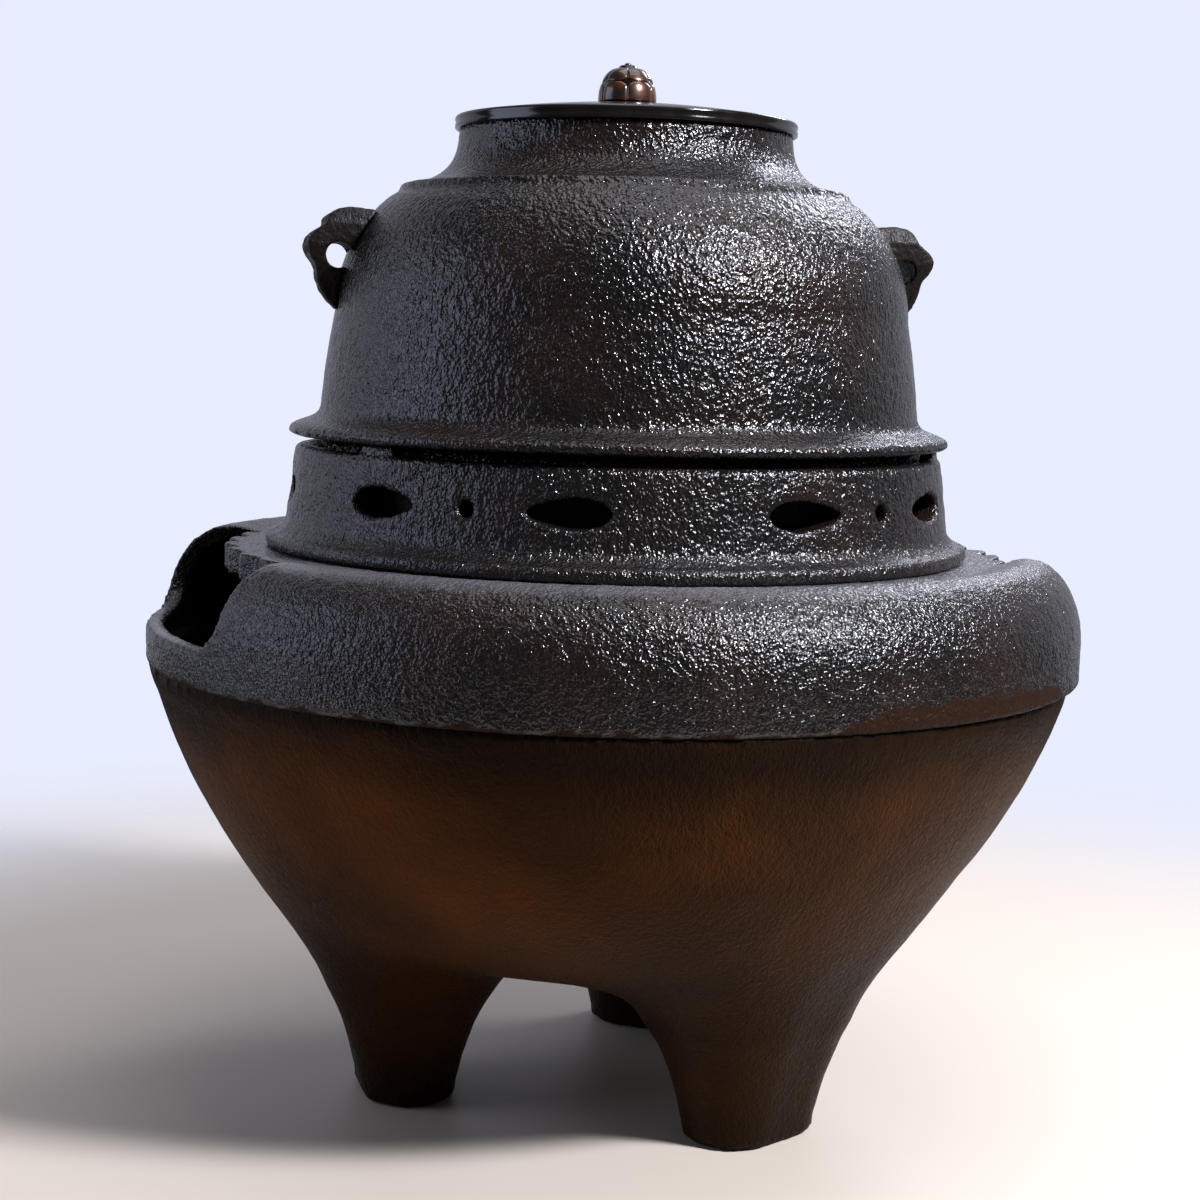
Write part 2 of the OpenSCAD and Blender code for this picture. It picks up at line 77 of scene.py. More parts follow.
# The lugs' eyes, and the step round the foot of the kettle's neck
EYE_Z = LUG_HIGH.z - 15.3 * MM
NECK_R = LID_HIGH.x + 17.6 * MM
NECK_Z = KETTLE_HIGH.z - 21.9 * MM

# The bowl's outside: radius of its flat floor, and the pulls of its curve at the floor and at the rim
FLOOR_R = 78 * MM
FLOOR_PULL = (46 * MM, 3 * MM)
RIM_PULL = (-7 * MM, -28.8 * MM)

# The legs: ring that they stand on, half of an oval's straight part, azimuths, and radii up their height
FOOT_RING = 69 * MM
FOOT_SPREAD = 8 * MM
LEG_TURNS = [math.radians(angle) for angle in (-3.5, 116.5, -123.5)]
LEG_HEIGHTS = [0, 5 * MM, 22 * MM, 38 * MM]
LEG_RADII = [15.6 * MM, 16 * MM, 20 * MM, 23.2 * MM]


def linear(hex_colour):
    """An sRGB hex colour as linear red, green, blue and alpha."""
    parts = [int(hex_colour[i:i + 2], 16) / 255 for i in (1, 3, 5)]
    return [p / 12.92 if p <= 0.04045 else ((p + 0.055) / 1.055) ** 2.4 for p in parts] + [1.0]


def add(tree, kind, values=None, **settings):
    """Adds a node with its settings; an input is given as a value or as the socket that feeds it."""
    node = tree.nodes.new(kind)
    for key, value in settings.items():
        setattr(node, key, value)
    for key, value in (values or {}).items():
        if isinstance(value, bpy.types.NodeSocket):
            tree.links.new(value, node.inputs[key])
        else:
            node.inputs[key].default_value = value
    return node


def calc(tree, operation, *values):
    """The result of an operation on values or sockets."""
    return add(tree, "ShaderNodeMath", dict(enumerate(values)), operation=operation).outputs[0]


def ramp(tree, value, start, end, low=0.0, high=1.0, **settings):
    """Runs from low to high while the value goes from start to end."""
    values = {"Value": value, "From Min": start, "From Max": end, "To Min": low, "To Max": high}
    return add(tree, "ShaderNodeMapRange", values, **settings).outputs[0]


def noise(tree, place, size, detail, **more):
    """Noise with grains of that size."""
    values = {"Vector": place, "Scale": 1 / size, "Detail": detail, **more}
    return add(tree, "ShaderNodeTexNoise", values).outputs["Fac"]


def mix_colours(tree, share, first, second):
    """Two colours mixed, with the share of the second from 0 to 1."""
    return add(tree, "ShaderNodeMix", {0: share, 6: first, 7: second}, data_type="RGBA").outputs[2]


# Sizes and colours that a user would change

class SkinSizes(bpy.types.PropertyGroup):
    """Sizes of the cast skins."""
    voxel: FloatProperty(name="Mesh step", description="Edge of a mesh cell on the large castings",
                         default=1.3 * MM, unit="LENGTH")
    lump: FloatProperty(name="Lump size", description="Spacing of the swells in the cast skin",
                        default=7 * MM, unit="LENGTH")
    swell: FloatProperty(name="Swell height", description="Height of the swells on the kettle",
                         default=0.34 * MM, unit="LENGTH")
    pebble: FloatProperty(name="Pebble size", description="Size of a pebble on the kettle",
                          default=0.9 * MM, unit="LENGTH")
    fillet: FloatProperty(name="Leg fillet", description="How far a leg's blend reaches into the bowl",
                          default=46 * MM, unit="LENGTH")
    seed: FloatProperty(name="Seed", description="Offset that fixes the pattern of the skin", default=4.0)


class FinishColours(bpy.types.PropertyGroup):
    """Colours of the finishes."""
    black: FloatVectorProperty(name="Black iron", description="Baked black finish of kettle and shoulder",
                               subtype="COLOR", size=4, default=linear("#110e0d"))
    warm: FloatVectorProperty(name="Warm iron", description="Brown that shows through the black",
                              subtype="COLOR", size=4, default=linear("#2b1a12"))
    brown: FloatVectorProperty(name="Brown iron", description="Patina of the brazier's bowl",
                               subtype="COLOR", size=4, default=linear("#2f1a0a"))
    # Partly rust and partly a painted warm reflection: the orange-brown of the bowl's broad patches
    rust_and_painted_reflection: FloatVectorProperty(name="Rust", description="Orange-brown glow in the bowl's patina",
                              subtype="COLOR", size=4, default=linear("#4d2a0b"))
    # Painted shade on the bowl: dark brown laid round its floor, under the seam and towards the feet
    soot_and_painted_shade: FloatVectorProperty(name="Soot", description="Dark brown of the legs and under the seam",
                              subtype="COLOR", size=4, default=linear("#120d09"))
    # Grey laid over the shoulder's faces that look up
    upward_grey: FloatVectorProperty(name="Ash dust", description="Grey of the dust on the shoulder's flat top",
                             subtype="COLOR", size=4, default=linear("#8f8e92"))
    lacquer: FloatVectorProperty(name="Lid lacquer", description="Glossy black of the lid",
                                 subtype="COLOR", size=4, default=linear("#0b0909"))
    copper: FloatVectorProperty(name="Copper", description="Brown copper of the knob",
                                subtype="COLOR", size=4, default=linear("#5c3319"))


class KnobSizes(bpy.types.PropertyGroup):
    """Sizes of the knob's petals."""
    petals: IntProperty(name="Petals", description="Petals in one tier", default=6, min=5, max=12)
    petal_t: FloatProperty(name="Petal thickness", description="How far a petal stands off the bud",
                           default=0.75 * MM, unit="LENGTH")


class StageSizes(bpy.types.PropertyGroup):
    """Where the camera stands and how it looks."""
    azimuth: FloatProperty(name="Camera azimuth", description="Turn of the camera from the front",
                           default=math.radians(72.5), unit="ROTATION")
    distance: FloatProperty(name="Camera distance", description="Plan distance from the axis",
                            default=0.7413, unit="LENGTH")
    height: FloatProperty(name="Camera height", description="Height above the table",
                          default=0.2552, unit="LENGTH")
    pitch: FloatProperty(name="Camera pitch", description="Downward tilt", default=math.radians(6.82),
                         unit="ROTATION")
    yaw: FloatProperty(name="Camera yaw", description="Turn to the side", default=math.radians(-0.36),
                       unit="ROTATION")
    roll: FloatProperty(name="Camera roll", description="Roll about the view", default=math.radians(-1.5),
                        unit="ROTATION")
    lens: FloatProperty(name="Lens", description="Focal length in millimetres", default=66.0)


# Materials

def new_material(name):
    """A new material, with its tree and its shader."""
    material = bpy.data.materials.new(name)
    material.use_nodes = True
    return material, material.node_tree, material.node_tree.nodes["Principled BSDF"]


def cast_iron(name, dark, warm, pebble, relief, rough, streak=1.0, patch=32 * MM, warm_share=0.4, shine=0.5,
              sheen="#ffffff"):
    """Cast iron with a baked finish, pebbled by the sand mould. It is glossy on the pebbles' crowns and
    dull between them (the two values of rough), so that a light breaks up into specks."""
    material, tree, shader = new_material(name)
    shader.inputs["Specular IOR Level"].default_value = shine
    shader.inputs["Specular Tint"].default_value = linear(sheen)
    place = add(tree, "ShaderNodeTexCoord").outputs["Object"]
    drawn = add(tree, "ShaderNodeMapping", {"Vector": place, "Scale": (1, 1, 1 / streak)}).outputs[0]
    broad = noise(tree, place, patch, 4.0)
    stones = noise(tree, drawn, pebble, 1.2, Roughness=0.35, Distortion=0.3)
    clumps = noise(tree, drawn, 2.6 * pebble, 1.0)
    colour = mix_colours(tree, ramp(tree, broad, 0.42, 0.72, high=warm_share), dark, warm)
    height = calc(tree, "MULTIPLY_ADD", clumps, 1.4, stones)
    bump = add(tree, "ShaderNodeBump", {"Height": height, "Strength": 1.0, "Distance": relief})
    crowns, hollows = rough
    gloss = ramp(tree, stones, 0.35, 0.65, hollows, crowns)
    for socket, feed in (("Base Color", colour), ("Roughness", gloss), ("Normal", bump.outputs[0])):
        tree.links.new(feed, shader.inputs[socket])
    return material


def lay_over(material, colour, share):
    """Lays a colour over a material's own, by a share from 0 to 1."""
    tree = material.node_tree
    base = tree.nodes["Principled BSDF"].inputs["Base Color"]
    tree.links.new(mix_colours(tree, share, base.links[0].from_socket, colour), base)


def dull(material, rough, shine, share):
    """Takes a material's gloss down to a rougher one, by a share from 0 to 1."""
    tree = material.node_tree
    shader = tree.nodes["Principled BSDF"]
    gloss, level = shader.inputs["Roughness"], shader.inputs["Specular IOR Level"]
    own_gloss = gloss.links[0].from_socket
    for socket, own, less in ((gloss, own_gloss, rough), (level, level.default_value, shine)):
        mixed = add(tree, "ShaderNodeMix", {0: share, 2: own, 3: less}).outputs[0]
        tree.links.new(mixed, socket)


def ragged_height(tree, size, reach):
    """Height above the table, unsettled by noise of that size and reach."""
    place = add(tree, "ShaderNodeTexCoord").outputs["Object"]
    tall = add(tree, "ShaderNodeSeparateXYZ", {0: place}).outputs["Z"]
    centred = calc(tree, "SUBTRACT", noise(tree, place, size, 5.0), 0.5)
    return calc(tree, "MULTIPLY_ADD", centred, reach, tall)


def black_iron(casting, grain, relief, rough, **more):
    """Black iron of one casting, whose pebbles are a share, the grain, of the set size."""
    c = bpy.context.scene.kettle_colours
    pebble = grain * bpy.context.scene.kettle_skin.pebble
    return cast_iron("black_cast_iron_" + casting, c.black, c.warm, pebble, relief, rough, **more)


def shoulder_iron():
    """Black iron of the brazier's shoulder; the black ends in a ragged edge above the seam, higher on
    one side, and dull brown iron shows below it. A grey is laid over the faces that look up, most where
    they look straight up."""
    worn_side = bpy.context.scene.kettle_stage.azimuth + math.radians(45)
    worn_way = (math.sin(worn_side), -math.cos(worn_side), 0)
    edge_low, edge_high = SEAM_Z + 1.4 * MM, SEAM_Z + 7.5 * MM
    material = black_iron("shoulder", grain=0.9, relief=0.48 * MM, rough=(0.13, 0.3))
    tree = material.node_tree
    place = add(tree, "ShaderNodeTexCoord").outputs["Object"]
    flat = add(tree, "ShaderNodeVectorMath", {0: place, 1: (1, 1, 0)}, operation="MULTIPLY").outputs[0]
    outward = add(tree, "ShaderNodeVectorMath", {0: flat}, operation="NORMALIZE").outputs[0]
    towards = add(tree, "ShaderNodeVectorMath", {0: outward, 1: worn_way},
                  operation="DOT_PRODUCT").outputs["Value"]
    edge = ramp(tree, towards, 0.92, 0.985, edge_low, edge_high, interpolation_type="SMOOTHSTEP")
    below = calc(tree, "SUBTRACT", edge, ragged_height(tree, size=9 * MM, reach=9 * MM))
    share = ramp(tree, below, -0.3 * MM, 0.4 * MM)
    lay_over(material, linear("#24140a"), share)
    dull(material, rough=0.5, shine=0.09, share=share)
    # Grey laid over the faces that look up, most where they look straight up
    normal = add(tree, "ShaderNodeNewGeometry").outputs["Normal"]
    level = add(tree, "ShaderNodeSeparateXYZ", {0: normal}).outputs["Z"]
    lay_over(material, bpy.context.scene.kettle_colours.upward_grey, ramp(tree, level, 0.8, 1.0, high=0.3))
    return material


def bowl_iron():
    """Brown patinated iron of the bowl and legs: fine grain, satin, orange-brown in broad patches that are
    partly rust and partly a painted warm reflection, with painted shade round the floor, under the seam
    and at the feet, and a black lip."""
    c = bpy.context.scene.kettle_colours
    pebble = 0.75 * bpy.context.scene.kettle_skin.pebble
    # The orange-brown patches are partly rust and partly a painted warm reflection
    material = cast_iron("brown_cast_iron_bowl", c.brown, c.rust_and_painted_reflection, pebble, relief=0.34 * MM,
                         rough=(0.36, 0.56), streak=1.5, patch=60 * MM, warm_share=0.9, shine=0.05,
                         sheen="#ffd2a4")
    tree = material.node_tree
    tall = ragged_height(tree, size=40 * MM, reach=30 * MM)
    # Painted shade: darker towards the bowl's floor, under the shoulder's overhang at the seam and towards
    # the feet
    for start, full, most in ((BOWL_LOW.z + 34 * MM, BOWL_LOW.z, 0.7),
                              (SEAM_Z - 24 * MM, SEAM_Z - 6 * MM, 0.85),
                              (FEET_Z + 30 * MM, FEET_Z + 4 * MM, 0.6)):
        lay_over(material, c.soot_and_painted_shade, ramp(tree, tall, start, full, high=most))
    lip = ragged_height(tree, size=7 * MM, reach=5 * MM)
    lay_over(material, c.black, ramp(tree, lip, SEAM_Z - 1.4 * MM, SEAM_Z - 0.6 * MM, high=0.9))
    return material


def sooted_iron():
    """Rough sooted iron of the pan, dull and grey-black."""
    c = bpy.context.scene.kettle_colours
    return cast_iron("sooted_cast_iron_pan", c.black, linear("#332d2a"), pebble=1.2 * MM, relief=0.3 * MM,
                     rough=(0.6, 0.85), shine=0.2)


def lid_lacquer():
    """Black lacquered bronze sheet: even, glossy, with faint wiping marks in the gloss."""
    c = bpy.context.scene.kettle_colours
    material, tree, shader = new_material("black_lacquered_bronze_lid")
    place = add(tree, "ShaderNodeTexCoord").outputs["Object"]
    wipes = noise(tree, place, 9 * MM, 5.0)
    gloss = ramp(tree, wipes, 0.3, 0.7, 0.08, 0.2)
    colour = mix_colours(tree, wipes, c.lacquer, linear("#1c1716"))
    tree.links.new(gloss, shader.inputs["Roughness"])
    tree.links.new(colour, shader.inputs["Base Color"])
    return material


def knob_copper(name, dark, bright):
    """Brown patinated copper: polished where fingers touch it, darker in mottled patches."""
    material, tree, shader = new_material(name)
    shader.inputs["Metallic"].default_value = 0.35
    shader.inputs["Coat Weight"].default_value = 0.7
    shader.inputs["Coat Roughness"].default_value = 0.12
    place = add(tree, "ShaderNodeTexCoord").outputs["Object"]
    share = ramp(tree, noise(tree, place, 4 * MM, 4.0), 0.35, 0.68)
    colour = mix_colours(tree, share, dark, bright)
    gloss = ramp(tree, share, 0.0, 1.0, 0.4, 0.2)
    tree.links.new(colour, shader.inputs["Base Color"])
    tree.links.new(gloss, shader.inputs["Roughness"])
    return material


def petal_copper():
    """Copper of the petals, brown and polished."""
    copper = bpy.context.scene.kettle_colours.copper
    return knob_copper("brown_polished_copper_petals", linear("#1b100a"), copper)


def core_copper():
    """Copper between the petals, black with age."""
    return knob_copper("black_aged_copper_core", linear("#040302"), linear("#100a07"))


# Geometry Nodes

def new_tree(name, inputs):
    """A tree that takes a mesh, the inputs by name and kind, and a material; it comes with its inputs."""
    tree = bpy.data.node_groups.new(name, "GeometryNodeTree")
    for label, kind in [("Geometry", "Geometry"), *inputs, ("Material", "Material")]:
        tree.interface.new_socket(label, in_out="INPUT", socket_type="NodeSocket" + kind)
    tree.interface.new_socket("Geometry", in_out="OUTPUT", socket_type="NodeSocketGeometry")
    return tree, add(tree, "NodeGroupInput").outputs


def close_tree(tree, shape, material):
    """Makes a tree's mesh real, paints it and gives it out."""
    real = add(tree, "GeometryNodeRealizeInstances", {0: shape}).outputs[0]
    painted = add(tree, "GeometryNodeSetMaterial", {"Geometry": real, "Material": material}).outputs[0]
    add(tree, "NodeGroupOutput", {0: painted})
    return tree


def skin_tree():
    """Tree that swells a mesh along its normals into a cast skin, calmer below and above two heights."""
    sizes = ("Lump Size", "Swell", "Pebble Size", "Pebble Height", "Low", "High", "Fade", "Calm Share",
             "Seed")
    tree, given = new_tree("cast_skin", [(name, "Float") for name in sizes])
    place = add(tree, "GeometryNodeInputPosition").outputs[0]
    tall = add(tree, "ShaderNodeSeparateXYZ", {0: place}).outputs["Z"]
    parts = []
    for size, height in (("Lump Size", "Swell"), ("Pebble Size", "Pebble Height")):
        values = {"Vector": place, "W": given["Seed"], "Scale": calc(tree, "DIVIDE", 1.0, given[size]),
                  "Detail": 1.5}
        grain = add(tree, "ShaderNodeTexNoise", values, noise_dimensions="4D").outputs["Fac"]
        parts.append(calc(tree, "MULTIPLY", calc(tree, "SUBTRACT", grain, 0.5), given[height]))
    low_end = calc(tree, "ADD", given["Low"], given["Fade"])
    high_end = calc(tree, "ADD", given["High"], given["Fade"])
    rise = ramp(tree, tall, given["Low"], low_end, low=given["Calm Share"])
    fall = ramp(tree, tall, given["High"], high_end, 1.0, given["Calm Share"])
    share = calc(tree, "MINIMUM", rise, fall)
    reach = calc(tree, "MULTIPLY", calc(tree, "ADD", *parts), share)
    normal = add(tree, "GeometryNodeInputNormal").outputs[0]
    offset = add(tree, "ShaderNodeVectorMath", {0: normal, "Scale": reach}, operation="SCALE").outputs[0]
    moved = add(tree, "GeometryNodeSetPosition",
                {"Geometry": given["Geometry"], "Offset": offset}).outputs[0]
    smooth = add(tree, "GeometryNodeSetShadeSmooth", {0: moved}).outputs[0]
    return close_tree(tree, smooth, given["Material"])


def ring_tree():
    """Tree that sets copies of one petal round the upright axis."""
    tree, given = new_tree("petal_ring", [("Count", "Int"), ("Turn", "Float")])
    spots = add(tree, "GeometryNodePoints", {"Count": given["Count"]}).outputs[0]
    index = add(tree, "GeometryNodeInputIndex").outputs[0]
    place = calc(tree, "ADD", index, given["Turn"])
    step = calc(tree, "DIVIDE", 2 * math.pi, given["Count"])
    turn = add(tree, "ShaderNodeCombineXYZ", {"Z": calc(tree, "MULTIPLY", place, step)}).outputs[0]
    copies = add(tree, "GeometryNodeInstanceOnPoints", {"Points": spots, "Instance": given["Geometry"],
                                                        "Rotation": turn}).outputs[0]
    return close_tree(tree, copies, given["Material"])


def tree_of(name, maker):
    """The node tree of that name, made when it is first needed."""
    return bpy.data.node_groups.get(name) or maker()


def grow(piece, tree, **inputs):
    """Adds a node tree to a piece, with its inputs set by the sockets' identifiers."""
    modifier = piece.modifiers.new(tree.name, "NODES")
    modifier.node_group = tree
    for socket in tree.interface.items_tree:
        key = socket.name.lower().replace(" ", "_")
        if socket.in_out == "INPUT" and key in inputs:
            modifier[socket.identifier] = inputs[key]


# Meshes

def link(name, mesh):
    """A new object at the origin."""
    piece = bpy.data.objects.new(name, mesh)
    bpy.context.scene.collection.objects.link(piece)
    return piece


def piece_from(name, shape):
    """A new object from a shape, which is then let go."""
    mesh = bpy.data.meshes.new(name)
    shape.to_mesh(mesh)
    shape.free()
    return link(name, mesh)


def copy_of(name, *nodes):
    """One piece from copies of solids, with their loose triangles merged."""
    shape = bmesh.new()
    for node in nodes:
        shape.from_mesh(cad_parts[node].data)
    bmesh.ops.remove_doubles(shape, verts=shape.verts, dist=0.001 * MM)
    return piece_from(name, shape)


def shade_smooth(piece):
    """Shades all of a piece's faces smooth."""
    piece.data.polygons.foreach_set("use_smooth", [True] * len(piece.data.polygons))


def settle(piece):
    """Turns a piece's modifiers into its plain mesh."""
    graph = bpy.context.evaluated_depsgraph_get()
    mesh = bpy.data.meshes.new_from_object(piece.evaluated_get(graph))
    old = piece.data
    piece.modifiers.clear()
    piece.data = mesh
    bpy.data.meshes.remove(old)


def remesh(piece, step, rounds):
    """Gives a piece even cells and softens its edges a little."""
    cells = piece.modifiers.new("cells", "REMESH")
    cells.mode = "VOXEL"
    cells.voxel_size = step
    soft = piece.modifiers.new("soft", "SMOOTH")
    soft.iterations = rounds
    settle(piece)


def points_of(piece, key="co"):
    """A mesh's points, or their normals, as rows."""
    rows = np.empty(len(piece.data.vertices) * 3)
    piece.data.vertices.foreach_get(key, rows)
    return rows.reshape(-1, 3)


def set_points(piece, points):
    """Moves a mesh's points."""
    piece.data.vertices.foreach_set("co", points.ravel())
    piece.data.update()


def soften(piece, rounds, share):
    """Melts creases where share, a function of the points, is above zero."""
    weights = np.round(share(points_of(piece)), 1)
    group = piece.vertex_groups.new(name="soft")
    for level in np.unique(weights):
        if level > 0:
            group.add(np.flatnonzero(weights == level).tolist(), float(level), "REPLACE")
    soft = piece.modifiers.new("melt", "SMOOTH")
    soft.iterations = rounds
    soft.vertex_group = group.name
    settle(piece)
    piece.vertex_groups.clear()


def reach_of(points):
    """Distance of points from the upright axis."""
    return np.hypot(points[:, 0], points[:, 1])


def facing(points, azimuth):
    """How far points lie towards an azimuth, from 0 to 1."""
    along = points[:, 0] * math.sin(azimuth) - points[:, 1] * math.cos(azimuth)
    return np.clip(along / reach_of(points), 0, 1)


def bowl_gap(points):
    """Distance of points from the bowl's outside, negative within. Its line goes on past the rim."""
    reach = reach_of(points)
    floor, rim, past = (FLOOR_R, BOWL_LOW.z), (BOWL_HIGH.x, SEAM_Z), 40 * MM
    pulls = [(end[0] + pull[0], end[1] + pull[1]) for end, pull in ((floor, FLOOR_PULL), (rim, RIM_PULL))]
    curve = bezier(floor, *pulls, rim, 36)
    line = np.array([(0, floor[1])] + curve + [(rim[0], rim[1] + past)])
    spots = np.column_stack((reach, points[:, 2]))
    gap = np.full(len(points), FAR)
    for a, b in zip(line, line[1:]):
        share = np.clip((spots - a) @ (b - a) / ((b - a) @ (b - a)), 0, 1)
        gap = np.minimum(gap, np.hypot(*(spots - a - share[:, None] * (b - a)).T))
    within = (points[:, 2] > floor[1]) & (reach < np.interp(points[:, 2], line[:, 1], line[:, 0]))
    return np.where(within, -gap, gap)


def leg_gap(points):
    """Distance of points from the nearest leg, an upright oval that widens from the foot."""
    gap = np.full(len(points), FAR)
    wide = np.interp(points[:, 2] - FEET_Z, LEG_HEIGHTS, LEG_RADII)
    for turn in LEG_TURNS:
        out = points[:, 0] * math.sin(turn) - points[:, 1] * math.cos(turn) - FOOT_RING
        along = points[:, 0] * math.cos(turn) + points[:, 1] * math.sin(turn)
        gap = np.minimum(gap, np.hypot(out, np.maximum(np.abs(along) - FOOT_SPREAD, 0)) - wide)
    return gap


def casting_gap(points):
    """Distance of points from bowl and legs, run together over the length of the fillet."""
    fillet = bpy.context.scene.kettle_skin.fillet
    bowl, leg = bowl_gap(points), leg_gap(points)
    share = np.clip(1 - np.abs(bowl - leg) / fillet, 0, 1)
    return np.minimum(bowl, leg) - share ** 2 * fillet / 4


def run_together(piece, rounds):
    """Moves the outside of bowl and legs onto the one casting that they make, by steps down the slope."""
    probe, least_slope = 0.2 * MM, 0.3
    points, normals = points_of(piece), points_of(piece, "normal")
    outward = (points[:, :2] * normals[:, :2]).sum(axis=1)
    sole = (points[:, 2] < FEET_Z + 1.5 * MM) & (normals[:, 2] < -0.5)
    outside = ((points[:, 2] < BOWL_LOW.z + 1 * MM) | (outward > 0)) & ~sole
    chosen = np.flatnonzero(outside & (points[:, 2] < SEAM_Z - 5 * MM))
    spots = points[chosen]
    for _ in range(rounds):
        gap = casting_gap(spots)
        slope = np.column_stack([casting_gap(spots + step) - gap for step in np.eye(3) * probe]) / probe
        slope /= np.maximum((slope ** 2).sum(axis=1), least_slope)[:, None]
        spots -= gap[:, None] * slope
    spots[:, 2] = np.maximum(spots[:, 2], FEET_Z)
    points[chosen] = spots
    set_points(piece, points)


def skin(piece, material, lump, swell, pebble, height, low=-1.0, high=1.0, fade=2 * MM, calm=0.3,
         shift=0.0):
    """Grows the cast skin on a piece and keeps it as a plain mesh."""
    seed = bpy.context.scene.kettle_skin.seed + shift
    grow(piece, tree_of("cast_skin", skin_tree), lump_size=lump, swell=swell, pebble_size=pebble,
         pebble_height=height, low=low, high=high, fade=fade, calm_share=calm, seed=seed, material=material)
    settle(piece)


def turned(name, profile, steps):
    """A closed turned shape from a profile of radius and height, both ends on the axis or joined."""
    angles = np.linspace(0, 2 * math.pi, steps, endpoint=False)
    shape = bmesh.new()
    rings = []
    for r, z in profile:
        if r < 1e-9:
            rings.append([shape.verts.new((0, 0, z))] * steps)
        else:
            rings.append([shape.verts.new((r * math.cos(a), r * math.sin(a), z)) for a in angles])
    closed = profile[0][0] > 1e-9
    pairs = list(zip(rings, rings[1:] + rings[:1])) if closed else list(zip(rings, rings[1:]))
    for low, high in pairs:
        for i in range(steps):
            j = (i + 1) % steps
            corners = []
            for corner in (low[i], low[j], high[j], high[i]):
                if corner not in corners:
                    corners.append(corner)
            if len(corners) > 2:
                shape.faces.new(corners)
    bmesh.ops.recalc_face_normals(shape, faces=shape.faces)
    piece = piece_from(name, shape)
    shade_smooth(piece)
    return piece


def bezier(a, b, c, d, n):
    """Points along a cubic curve."""
    a, b, c, d = map(np.array, (a, b, c, d))
    t = np.linspace(0, 1, n)[:, None]
    s = 1 - t
    return [tuple(p) for p in s ** 3 * a + 3 * s ** 2 * t * b + 3 * s * t ** 2 * c + t ** 3 * d]


def arc(centre, radius, start, end, n):
    """Points along an arc, with its angles in degrees."""
    return [(centre[0] + radius * math.cos(a), centre[1] + radius * math.sin(a))
            for a in np.radians(np.linspace(start, end, n))]


def hand_in(piece, body, slot, *nodes):
    """Ties a finished piece to its body and hides the solids that it stands for; the slot is not used."""
    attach(piece, body)
    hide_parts(*nodes)


# Operators

class KETTLE_OT_bowl(bpy.types.Operator):
    """Grow the brazier's bowl and its three legs as one casting"""
    bl_idname = "kettle.bowl"
    bl_label = "Brazier bowl and legs"

    def execute(self, context):
        sizes = context.scene.kettle_skin
        legs = ("leg_front", "leg_rear_right", "leg_rear_left")
        piece = copy_of("brazier_bowl", "furo_bowl", *legs)
        for _ in range(2):
            remesh(piece, step=1.53 * sizes.voxel, rounds=1)
            run_together(piece, rounds=5)
        ankle = [FEET_Z + 4 * MM, FEET_Z + 12 * MM]
        soften(piece, rounds=3, share=lambda points: np.interp(points[:, 2], ankle, [0, 1]))
        drawn_in = context.scene.kettle_stage.azimuth + math.radians(78)
        self.lean(piece, drawn_in)
        self.meet(piece, drawn_in)
        skin(piece, bowl_iron(), lump=9 * MM, swell=0.5 * MM, pebble=3.2 * MM, height=0.22 * MM,
             low=FEET_Z + 0.5 * MM, high=SEAM_Z - 3 * MM, fade=2 * MM, calm=0.05, shift=1.0)
        hand_in(piece, "furo", "iron_bowl", "furo_bowl", *legs)
        return {"FINISHED"}

    def lean(self, piece, azimuth):
        """Draws one flank in, as the casting has come out of its mould."""
        points = points_of(piece)
        away = np.array((math.sin(azimuth), -math.cos(azimuth)))
        heights = [FEET_Z + 28 * MM, *(BOWL_LOW.z + up * MM for up in (8, 28, 48)), SEAM_Z]
        depths = [0, 2 * MM, 4 * MM, 3.4 * MM, 1.4 * MM]
        depth = np.interp(points[:, 2], heights, depths)
        points[:, :2] -= (depth * facing(points, azimuth) ** 4)[:, None] * away
        set_points(piece, points)

    def meet(self, piece, azimuth):
        """Brings the rim up to the shoulder's edge, so that hardly a step shows but on the drawn flank."""
        push, lift = 1.3 * MM, 1.8 * MM
        points = points_of(piece)
        reach = reach_of(points)
        share = np.interp(points[:, 2], [SEAM_Z - 9 * MM, SEAM_Z - 1 * MM], [0, 1])
        share *= reach > BOWL_HIGH.x - 6 * MM
        points[:, :2] *= (1 + push * share * (1 - facing(points, azimuth) ** 4) / reach)[:, None]
        points[:, 2] += lift * share ** 3
        set_points(piece, points)


class KETTLE_OT_shoulder(bpy.types.Operator):
    """Grow the brazier's shoulder with its fire windows"""
    bl_idname = "kettle.shoulder"
    bl_label = "Brazier shoulder"

    def execute(self, context):
        sizes = context.scene.kettle_skin
        piece = copy_of("brazier_shoulder", "furo_shoulder")
        remesh(piece, step=sizes.voxel, rounds=3)
        skin(piece, shoulder_iron(), lump=sizes.lump, swell=0.7 * MM, pebble=2.6 * MM, height=0.42 * MM,
             low=SEAM_Z, fade=2 * MM, calm=0.4, shift=2.0)
        hand_in(piece, "furo", "iron_black", "furo_shoulder")
        return {"FINISHED"}


class KETTLE_OT_collar(bpy.types.Operator):
    """Grow the vented collar and the seats on its rim"""
    bl_idname = "kettle.collar"
    bl_label = "Brazier collar"

    def execute(self, context):
        sizes = context.scene.kettle_skin
        piece = copy_of("brazier_collar", "furo_collar", "rim_seats")
        remesh(piece, step=0.8 * sizes.voxel, rounds=4)
        iron = black_iron("collar", grain=0.85, relief=0.55 * MM, rough=(0.14, 0.3), streak=1.4)
        skin(piece, iron, lump=sizes.lump, swell=0.9 * MM, pebble=2.4 * MM, height=0.3 * MM,
             low=COLLAR_LOW.z + 6 * MM, high=COLLAR_HIGH.z - 1 * MM, fade=1 * MM, calm=0.1, shift=3.0)
        hand_in(piece, "furo", "iron_black", "furo_collar", "rim_seats")
        return {"FINISHED"}


